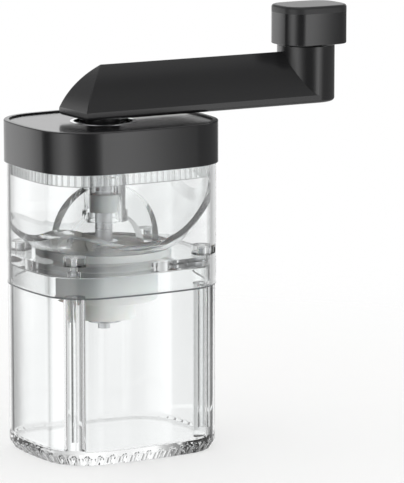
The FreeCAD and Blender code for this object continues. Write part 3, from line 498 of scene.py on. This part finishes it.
def makeContainer(sizes):
    outer = sizes["inset"]
    inner = outer + sizes["wall"]
    bevel, seam = sizes["bevelHeight"], sizes["seamLevel"]
    neck, top, floor = sizes["neckInset"], sizes["neckTop"], sizes["floor"]
    path = roundedPath([
        (outer + sizes["bevelWidth"] + sizes["footRow"], 0.0, 0),
        (outer + sizes["bevelWidth"], 0.0, sizes["footEdge"]),
        (outer, bevel, sizes["bevelEdge"]),
        (outer, bevel + sizes["bevelRow"], 0),
        (outer, bevel + sizes["wallRow"], 0),
        (outer, seam - sizes["seamRow"], 0),
        (outer, seam, sizes["seamEdge"]),
        (neck, seam, sizes["neckRoot"]),
        (neck, top, sizes["neckEdge"]),
        (inner, top, sizes["neckEdge"]),
        (inner, top - sizes["neckRow"], 0),
        (inner, floor + sizes["floorRow"], 0),
        (inner, floor, sizes["floorFillet"]),
        (inner + sizes["floorRow"], floor, 0),
        (inner + sizes["floorFlat"], floor, 0),
    ], sizes["edgeSteps"])
    count = sizes["cells"] * sizes["cellSteps"]
    points = []
    for step, (spot, normal) in enumerate(outlineRing(bodyArcs, count)):
        cell = abs(math.sin(math.pi * step / sizes["cellSteps"])) ** sizes["cellPower"]
        for index, (inset, height) in enumerate(path):
            outside = index < len(path) / 2
            rise = min(1.0, height / (bevel + sizes["cellReach"]))
            dip = sizes["cellDepth"] * (1 - cell) if outside else 0.0
            fade = math.sin(math.pi * (sizes["cellStart"] + (1 - sizes["cellStart"]) * rise))
            points.append(spot - normal * (inset + dip * fade) * mm + Vector((0, 0, height * mm)))
    container = meshPiece("clearContainer", points, loftFaces(count, len(path), False),
                          finishOfSlot["clear_plastic"])
    joinSolids(container, postTools(frontPosts, sizes["columnRadius"], floor - sizes["overlap"], seam),
               "UNION")
    joinSolids(container, postTools(frontPosts, sizes["boreRadius"], sizes["boreLow"],
                                    seam + sizes["overlap"], sizes["boreSides"]), "DIFFERENCE")
    smoothMesh(container.data, loftCrease)
    # painted shade along the container's seam edge
    paintSeamShade(container, seam - sizes["seamEdge"], seam)
    seat(container, "container", "container")


makeContainer(containerSizes)
print("container made")


# clear hopper shell with four screw bosses

hopperSizes = {
    "wall": 2.2, "low": 67.0, "high": 115.9, "edge": 0.25, "edgeSteps": 3, "ringSteps": 320,
    "bossRadius": 4.4, "bossLow": 79.3, "bossHigh": 82.9, "boreRadius": 1.3, "boreHigh": 82.3,
    "overlap": 1.0, "edgeRow": 1.0, "bossRow": 0.8,
}


def makeHopper(sizes):
    wall, low, high, edge = sizes["wall"], sizes["low"], sizes["high"], sizes["edge"]
    row = sizes["edgeRow"]
    path = roundedPath([
        (0.0, low, edge), (0.0, low + row, 0), (0.0, high - row, 0), (0.0, high, edge),
        (wall, high, edge), (wall, high - row, 0), (wall, sizes["bossHigh"] + sizes["bossRow"], 0),
        (wall, sizes["bossLow"] - sizes["bossRow"], 0), (wall, low + row, 0), (wall, low, edge),
    ], sizes["edgeSteps"])
    hopper = meshPiece("clearHopper", loftPoints(path, sizes["ringSteps"]),
                       loftFaces(sizes["ringSteps"], len(path), True),
                       finishOfSlot["clear_plastic"])
    joinSolids(hopper, postTools(cornerPosts, sizes["bossRadius"], sizes["bossLow"],
                                 sizes["bossHigh"]), "UNION")
    joinSolids(hopper, postTools(cornerPosts, sizes["boreRadius"],
                                 sizes["bossLow"] - sizes["overlap"], sizes["boreHigh"]),
               "DIFFERENCE")
    smoothMesh(hopper.data, loftCrease)
    # painted shade along the hopper's lower seam edge
    paintSeamShade(hopper, low, low + edge)
    seat(hopper, "hopper", "hopper_shell")


makeHopper(hopperSizes)
print("hopper made")


# other pieces keep the CAD form with merged corners and smooth shading

mergeDistance = 0.002 * mm
creaseAngles = {"crank_arm": 12, "cover": 24, "others": 28}
coverLook = {"deckRecess": 0.6 * mm, "levelSlack": 0.02 * mm}
pieceNames = {
    "bean_funnel": "beanFunnel", "mill_plate": "millPlate", "plate_screws": "plateScrews",
    "burr_carrier": "burrCarrier", "ring_burr": "ringBurr", "bearing_bridge": "bearingBridge",
    "lower_bush": "lowerBush", "upper_bush": "upperBush", "drive_shaft": "driveShaft",
    "shaft_clip": "shaftClip", "cone_burr": "coneBurr", "burr_insert": "burrInsert",
    "spring_washer": "springWasher", "adjusting_dial": "adjustingDial", "thumb_nut": "thumbNut",
    "cover": "blackCover", "cover_eyelet": "coverEyelet", "crank_arm": "crankArm",
    "drive_socket": "driveSocket", "knob_spindle": "knobSpindle", "knob_washer": "knobWasher",
    "knob": "knobBlock", "knob_cap": "knobCap",
}


def smoothPiece(node, name, angle):
    mesh = nodes[node].data.copy()
    mesh.name = name
    mesh.materials.clear()
    mesh.materials.append(finishOfNode.get(node, finishOfSlot[slotOfNode[node]]))
    form = bmesh.new()
    form.from_mesh(mesh)
    bmesh.ops.remove_doubles(form, verts=form.verts, dist=mergeDistance)
    form.to_mesh(mesh)
    form.free()
    if mesh.has_custom_normals:  # stored corner normals no longer fit once corners are merged
        mesh.attributes.remove(mesh.attributes["custom_normal"])
    smoothMesh(mesh, angle)
    piece = bpy.data.objects.new(name, mesh)
    scene.collection.objects.link(piece)
    even = piece.modifiers.new("even", "WEIGHTED_NORMAL")  # flat faces stay flat beside roundings
    even.keep_sharp = True
    applyModifiers(piece)
    return seat(piece, nodes[node]["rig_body"], node)


def polishDeck(cover, look):
    # the sunk deck has a more polished skin than the cover's walls
    cover.data.materials.append(deckBlack)
    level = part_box("cover")[1].z - look["deckRecess"]
    for face in cover.data.polygons:
        if abs(face.center.z - level) < look["levelSlack"]:
            face.material_index = 1


smoothPieces = {}
for node, name in pieceNames.items():
    smoothPieces[node] = smoothPiece(node, name, creaseAngles.get(node, creaseAngles["others"]))
polishDeck(smoothPieces["cover"], coverLook)
spring = nodes["burr_spring"].data  # the spring keeps its own node, because it deforms
spring.materials.clear()
spring.materials.append(finishOfSlot[slotOfNode["burr_spring"]])
print("smooth pieces:", len(smoothPieces))


# clear gasket under the cover, with upright ribs round its inside

gasketSizes = {"outside": 2.5, "seat": 2.25, "inside": 4.1, "low": 110.9, "step": 115.9,
               "high": 120.9, "edge": 0.2, "edgeSteps": 3, "ringSteps": 240}
ribSizes = {"pitch": 2.6, "radius": 0.4, "height": 4.8, "inset": 4.52, "middle": 113.4,
            "sides": 10, "crease": 50, "ringSteps": 240}


def makeGasket(sizes):
    outside, ledge, inside = sizes["outside"], sizes["seat"], sizes["inside"]
    low, step, high, edge = sizes["low"], sizes["step"], sizes["high"], sizes["edge"]
    path = roundedPath([
        (outside, low, edge), (outside, step, 0), (ledge, step, 0), (ledge, high, edge),
        (inside, high, edge), (inside, low, edge),
    ], sizes["edgeSteps"])
    gasket = meshPiece("coverGasket", loftPoints(path, sizes["ringSteps"]),
                       loftFaces(sizes["ringSteps"], len(path), True), finishOfSlot["silicone"])
    seat(gasket, "cover", "cover_gasket")


def ribTree(material, sides):
    tree = bpy.data.node_groups.new("gasketRibTree", "GeometryNodeTree")
    tree.interface.new_socket("Geometry", in_out="INPUT", socket_type="NodeSocketGeometry")
    for name in ("Pitch", "Radius", "Height"):
        tree.interface.new_socket(name, in_out="INPUT", socket_type="NodeSocketFloat")
    tree.interface.new_socket("Geometry", in_out="OUTPUT", socket_type="NodeSocketGeometry")
    given = addNode(tree, "NodeGroupInput")
    path = addNode(tree, "GeometryNodeMeshToCurve", {}, {"Mesh": given.outputs["Geometry"]})
    spots = addNode(tree, "GeometryNodeCurveToPoints", {"mode": "LENGTH"},
                    {"Curve": path.outputs["Curve"], "Length": given.outputs["Pitch"]})
    rib = addNode(tree, "GeometryNodeMeshCylinder", {"Vertices": sides},
                  {"Radius": given.outputs["Radius"], "Depth": given.outputs["Height"]})
    row = addNode(tree, "GeometryNodeInstanceOnPoints", {},
                  {"Points": spots.outputs["Points"], "Instance": rib.outputs["Mesh"]})
    solid = addNode(tree, "GeometryNodeRealizeInstances", {},
                    {"Geometry": row.outputs["Instances"]})
    painted = addNode(tree, "GeometryNodeSetMaterial", {"Material": material},
                      {"Geometry": solid.outputs["Geometry"]})
    addNode(tree, "NodeGroupOutput", {}, {"Geometry": painted.outputs["Geometry"]})
    return tree


def runTree(piece, tree, values):
    made = piece.modifiers.new("made", "NODES")
    made.node_group = tree
    for socket in tree.interface.items_tree:
        if socket.in_out == "INPUT" and socket.name in values:
            made[socket.identifier] = values[socket.name]
    applyModifiers(piece)


def makeGasketRibs(sizes):
    ring = loftPoints([(sizes["inset"], sizes["middle"])], sizes["ringSteps"])
    mesh = bpy.data.meshes.new("gasketRibs")
    mesh.from_pydata(ring, [(i, (i + 1) % len(ring)) for i in range(len(ring))], [])
    ribs = bpy.data.objects.new("gasketRibs", mesh)
    scene.collection.objects.link(ribs)
    runTree(ribs, ribTree(finishOfSlot["silicone"], sizes["sides"]), {
        "Pitch": sizes["pitch"] * mm, "Radius": sizes["radius"] * mm,
        "Height": sizes["height"] * mm})
    smoothMesh(ribs.data, sizes["crease"])
    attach(ribs, "cover")


makeGasket(gasketSizes)
makeGasketRibs(ribSizes)
print("gasket made")


# floor, studio light and camera

stageLook = {"radius": 450 * mm, "fadeFrom": 180 * mm, "fadeTo": 0.96, "level": -0.1 * mm,
             "rings": 24, "sides": 96, "paper": "#fafaf9", "paperLight": "#fcfcfb",
             "liftSeen": 0.8, "liftCamera": 0.5}


def makeFloor(look):
    # A round sheet of pale paper that fades out before its rim.
    material, tree, output, place = newMaterial("palePaperFloor")
    fibre = addNode(tree, "ShaderNodeTexNoise", {"Scale": 1 / (30 * mm), "Detail": 3.0},
                    {"Vector": place})
    tone = addNode(tree, "ShaderNodeMix", {
        "data_type": "RGBA", 6: hexLinear(look["paper"]), 7: hexLinear(look["paperLight"]),
    }, {"Factor": fibre.outputs["Fac"]})
    sheet = addNode(tree, "ShaderNodeBsdfDiffuse", {}, {"Color": tone.outputs[2]})
    white = addNode(tree, "ShaderNodeEmission", {"Color": [1.0, 1.0, 1.0, 1.0], "Strength": 1.0})
    rays = addNode(tree, "ShaderNodeLightPath")
    camera = addNode(tree, "ShaderNodeMath", {"operation": "MULTIPLY", 1: look["liftCamera"]},
                     {0: rays.outputs["Is Camera Ray"]})
    lift = addNode(tree, "ShaderNodeMath", {"operation": "MULTIPLY_ADD", 1: look["liftSeen"]},
                   {0: rays.outputs["Is Glossy Ray"], 2: camera.outputs["Value"]})
    paper = addNode(tree, "ShaderNodeMixShader", {}, {
        0: lift.outputs["Value"], 1: sheet.outputs["BSDF"], 2: white.outputs["Emission"]})
    reach = addNode(tree, "ShaderNodeVectorMath", {"operation": "LENGTH"}, {0: place})
    fade = addNode(tree, "ShaderNodeMapRange", {
        "interpolation_type": "SMOOTHSTEP", "From Min": look["fadeFrom"],
        "From Max": look["radius"] * look["fadeTo"],
    }, {"Value": reach.outputs["Value"]})
    # rays bent by the clear walls pass on to the studio, whose dark sides then draw the foot's edges
    bent = addNode(tree, "ShaderNodeMath", {"operation": "MAXIMUM"},
                   {0: fade.outputs["Result"], 1: rays.outputs["Is Transmission Ray"]})
    clear = addNode(tree, "ShaderNodeBsdfTransparent")
    shader = addNode(tree, "ShaderNodeMixShader", {}, {
        0: bent.outputs["Value"], 1: paper.outputs["Shader"], 2: clear.outputs["BSDF"]})
    tree.links.new(shader.outputs["Shader"], output.inputs["Surface"])
    sides = look["sides"]
    points = [(0, 0, look["level"])]
    faces = []
    for ring in range(1, look["rings"] + 1):
        radius = look["radius"] * ring / look["rings"]
        for side in range(sides):
            turn = 2 * math.pi * side / sides
            points.append((radius * math.cos(turn), radius * math.sin(turn), look["level"]))
            here = 1 + (ring - 1) * sides + side
            ahead = 1 + (ring - 1) * sides + (side + 1) % sides
            if ring == 1:
                faces.append((0, here, ahead))
            else:
                faces.append((here - sides, here, ahead, ahead - sides))
    floor = meshPiece("paleFloor", points, faces, material)


cameraLook = {"azimuth": -28.702, "elevation": 10.503, "distance": 1.51547, "target": (0, 0, 0.067),
              "sideways": 0.03624, "upwards": 0.01575, "lens": 282.4, "sensor": 36,
              "clipStart": 0.05, "clipEnd": 50}


def makeCamera(look):
    azimuth, elevation = math.radians(look["azimuth"]), math.radians(look["elevation"])
    right = Vector((math.cos(azimuth), math.sin(azimuth), 0))
    back = Vector((math.sin(azimuth) * math.cos(elevation),
                   -math.cos(azimuth) * math.cos(elevation), math.sin(elevation)))
    up = back.cross(right)
    target = Vector(look["target"])
    place = target + back * look["distance"]
    aim = target + right * look["sideways"] + up * look["upwards"]
    camera = bpy.data.objects.new("photoCamera", bpy.data.cameras.new("photoCamera"))
    scene.collection.objects.link(camera)
    camera.data.lens = look["lens"]
    camera.data.sensor_width = look["sensor"]
    camera.data.clip_start, camera.data.clip_end = look["clipStart"], look["clipEnd"]
    camera.location = place
    camera.rotation_euler = (aim - place).to_track_quat("-Z", "Y").to_euler()
    scene.camera = camera


# each ring lists an angle from the viewer's side, growing to the right, and the light from there
studioLook = {
    # seen in reflections, near the horizon and higher up
    "low": [(-180, 1.15), (-154, 1.05), (-136, 1.45), (-118, 1.9), (-104, 0.3), (-97, 0.05),
            (-82, 0.05), (-68, 1.1), (-48, 2.1), (-36, 2.1), (-14, 0.5), (0, 0.08), (26, 0.08),
            (38, 1.0), (46, 2.5), (53, 2.4), (61, 1.2), (70, 0.3), (156, 0.2), (168, 1.15),
            (180, 1.15)],
    "high": [(-180, 1.1), (-162, 1.0), (-142, 0.3), (-60, 0.22), (-20, 0.3), (40, 0.55),
             (58, 0.52), (72, 0.28), (140, 0.2), (160, 0.9), (180, 1.1)],
    # seen through the clear walls
    "through": [(-180, 0.92), (-176, 1.12), (-172, 1.06), (-169, 0.72), (-165, 0.48), (-158, 0.28),
                (-150, 0.12), (-142, 0.04), (-112, 0.04), (-100, 0.5), (-92, 1.2), (-50, 1.15),
                (-26, 1.0), (-16, 0.4), (10, 0.4), (40, 1.1), (94, 1.2), (116, 1.1), (126, 0.75),
                (134, 0.5), (148, 0.62), (156, 0.8), (163, 0.94), (168, 1.2), (173, 1.15),
                (180, 0.92)],
    # falls on the pieces behind the clear walls
    "inside": [(-180, 0.2), (-150, 0.02), (16, 0.02), (32, 4.0), (46, 5.2), (60, 4.6), (84, 2.6),
               (128, 2.4), (165, 0.6), (180, 0.2)],
    "zenith": 0.9, "overhead": 0.95, "ambient": 1.0,
    # heights of a ray, as its z, over which one light gives way to the next
    "climb": (0.05, 0.3), "summit": (0.8, 0.95), "leave": (0.26, 0.36),
}


def makeStudio(look):
    world = bpy.data.worlds.new("paleStudio")
    scene.world = world
    world.use_nodes = True
    tree = world.node_tree
    tree.nodes.clear()
    output = addNode(tree, "ShaderNodeOutputWorld")
    rays = addNode(tree, "ShaderNodeLightPath")
    place = addNode(tree, "ShaderNodeTexCoord")
    turned = math.pi / 2 - math.radians(cameraLook["azimuth"])
    facing = addNode(tree, "ShaderNodeMapping", {"Rotation": (0, 0, turned)},
                     {"Vector": place.outputs["Generated"]})
    axes = addNode(tree, "ShaderNodeSeparateXYZ", {}, {"Vector": facing.outputs["Vector"]})
    angle = addNode(tree, "ShaderNodeMath", {"operation": "ARCTAN2"},
                    {0: axes.outputs["Y"], 1: axes.outputs["X"]})
    share = addNode(tree, "ShaderNodeMapRange", {"From Min": -math.pi, "From Max": math.pi},
                    {"Value": angle.outputs["Value"]})
    ringNames = ("low", "high", "through", "inside")
    peak = max(level for key in ringNames for degrees, level in look[key])
    rings = {}
    for key in ringNames:
        ring = addNode(tree, "ShaderNodeValToRGB", {}, {"Fac": share.outputs["Result"]})
        rampStops(ring, [((degrees + 180) / 360, level / peak) for degrees, level in look[key]])
        rings[key] = ring.outputs["Color"]
    steep = addNode(tree, "ShaderNodeMath", {"operation": "ABSOLUTE"}, {0: axes.outputs["Z"]})
    heights = {}
    for key, height in (("climb", axes.outputs["Z"]), ("summit", axes.outputs["Z"]),
                        ("leave", steep.outputs["Value"])):
        low, high = look[key]
        span = addNode(tree, "ShaderNodeMapRange", {"From Min": low, "From Max": high},
                       {"Value": height})
        heights[key] = span.outputs["Result"]
    zenith, overhead = ([look[key] / peak] * 3 + [1.0] for key in ("zenith", "overhead"))
    # reflections see the low ring, the high ring and the zenith
    dome = addNode(tree, "ShaderNodeMix", {"data_type": "RGBA"},
                   {"Factor": heights["climb"], 6: rings["low"], 7: rings["high"]})
    whole = addNode(tree, "ShaderNodeMix", {"data_type": "RGBA", 7: zenith},
                    {"Factor": heights["summit"], 6: dome.outputs[2]})
    mirrored = addNode(tree, "ShaderNodeBackground", {"Strength": peak}, {"Color": whole.outputs[2]})
    # bent rays see the through ring, or the inside ring once they left a dull surface
    veil = addNode(tree, "ShaderNodeMix", {"data_type": "RGBA", 7: overhead},
                   {"Factor": heights["leave"], 6: rings["through"]})
    dull = addNode(tree, "ShaderNodeMath", {"operation": "GREATER_THAN", 1: 0.5},
                   {0: rays.outputs["Diffuse Depth"]})
    beyond = addNode(tree, "ShaderNodeMix", {"data_type": "RGBA"},
                     {"Factor": dull.outputs["Value"], 6: veil.outputs[2], 7: rings["inside"]})
    through = addNode(tree, "ShaderNodeBackground", {"Strength": peak}, {"Color": beyond.outputs[2]})
    plain = [1.0, 1.0, 1.0, 1.0]
    soft = addNode(tree, "ShaderNodeBackground", {"Color": plain, "Strength": look["ambient"]})
    white = addNode(tree, "ShaderNodeBackground", {"Color": plain, "Strength": 1.0})
    shown = soft.outputs["Background"]
    for kind, light in (("Is Glossy Ray", mirrored), ("Is Transmission Ray", through),
                        ("Is Camera Ray", white)):
        mixed = addNode(tree, "ShaderNodeMixShader", {}, {
            0: rays.outputs[kind], 1: shown, 2: light.outputs["Background"]})
        shown = mixed.outputs["Shader"]
    tree.links.new(shown, output.inputs["Surface"])


makeFloor(stageLook)
makeCamera(cameraLook)
makeStudio(studioLook)
print("stage, camera and studio made")
